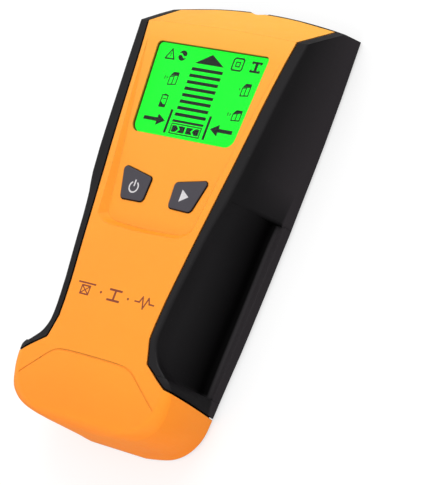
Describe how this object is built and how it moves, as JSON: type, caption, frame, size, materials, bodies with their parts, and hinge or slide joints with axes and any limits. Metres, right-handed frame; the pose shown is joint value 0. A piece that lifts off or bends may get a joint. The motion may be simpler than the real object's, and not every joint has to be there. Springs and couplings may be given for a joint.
{
  "type": "stud finder",
  "caption": "Hand-held three-way wall detector: orange front with a lit display and a pair of keys, black grip sides, a waisted handle and a wide rounded foot.",
  "frame": {"origin": "centre of the flat back face's bounding rectangle, on the back plane", "axes": "+X to the right as the display is read, +Y along the case towards the display end, +Z out of the front face"},
  "size_m": [0.0794, 0.1602, 0.0305],
  "materials": {
    "orange_abs": "satin moulded orange ABS",
    "black_abs": "fine-textured black ABS",
    "label_film": "blank printed film label",
    "lens": "clear acrylic window",
    "lcd": "back-lit green liquid crystal panel",
    "white_plastic": "white holder frame",
    "light_guide": "light guide",
    "led": "side-firing LEDs",
    "elastomer": "striped conductive elastomer",
    "key_rubber": "dark grey keycap",
    "switch_body": "tact switch body",
    "switch_plunger": "switch plunger",
    "fr4": "green solder-masked board",
    "ic": "chip package with legs",
    "can_metal": "metal can",
    "cap_sleeve": "sleeved capacitor can",
    "chip_ceramic": "ceramic chip",
    "buzzer_black": "black buzzer case",
    "fr4_thin": "thin sensor board",
    "copper": "bare copper",
    "foam": "soft foam",
    "enamel_wire": "enamelled copper winding",
    "bobbin": "bobbin plastic",
    "ferrite": "ferrite",
    "tin_pin": "plated pins",
    "zinc": "zinc-plated screw",
    "dark_screw": "blackened screw",
    "battery_wrap": "plain wrapped metal jacket",
    "snap_vinyl": "moulded vinyl",
    "wire_red": "red insulation",
    "wire_black": "black insulation"
  },
  "bodies": {
    "case": {"front_shell": "orange_abs", "rear_shell": "black_abs", "back_label": "label_film", "display_lens": "lens", "lcd_glass": "lcd", "lcd_frame": "white_plastic", "backlight_guide": "light_guide", "backlight_leds": "led", "zebra_strip": "elastomer", "power_switch": "switch_body", "mode_switch": "switch_body", "main_board": "fr4", "main_chip": "ic", "amp_chips": "ic", "crystal": "can_metal", "capacitors": "cap_sleeve", "chip_resistors": "chip_ceramic", "buzzer": "buzzer_black", "sensor_board": "fr4_thin", "sensor_plates": "copper", "sensor_foam": "foam", "search_coil": "enamel_wire", "coil_bobbin": "bobbin", "ferrite_core": "ferrite", "link_pins": "tin_pin", "link_header": "buzzer_black", "board_screws": "zinc", "case_screws": "dark_screw", "battery": "battery_wrap", "battery_terminals": "can_metal", "battery_snap": "snap_vinyl", "battery_pad": "foam", "lead_red": "wire_red", "lead_black": "wire_black"},
    "power_key": {"power_key": "key_rubber"},
    "mode_key": {"mode_key": "key_rubber"},
    "power_plunger": {"power_plunger": "switch_plunger"},
    "mode_plunger": {"mode_plunger": "switch_plunger"},
    "battery_door": {"battery_door": "black_abs"}
  },
  "joints": [
    {"name": "power_key_press", "type": "slide", "parent": "case", "child": "power_key", "axis": [0, 0, -1], "range_m": [0, 0.0004], "stiffness_N_per_m": 300},
    {"name": "mode_key_press", "type": "slide", "parent": "case", "child": "mode_key", "axis": [0, 0, -1], "range_m": [0, 0.0004], "stiffness_N_per_m": 300},
    {"name": "power_plunger_press", "type": "slide", "parent": "case", "child": "power_plunger", "axis": [0, 0, -1], "range_m": [0, 0.0004]},
    {"name": "mode_plunger_press", "type": "slide", "parent": "case", "child": "mode_plunger", "axis": [0, 0, -1], "range_m": [0, 0.0004]},
    {"name": "battery_door_hinge", "type": "hinge", "parent": "case", "child": "battery_door", "pos_m": [0, -0.0742, 0.0012], "axis": [-1, 0, 0], "range_deg": [0, 85]}
  ],
  "couplings": [
    {"joint": "power_plunger_press", "follows": "power_key_press", "ratio": 1},
    {"joint": "mode_plunger_press", "follows": "mode_key_press", "ratio": 1}
  ]
}
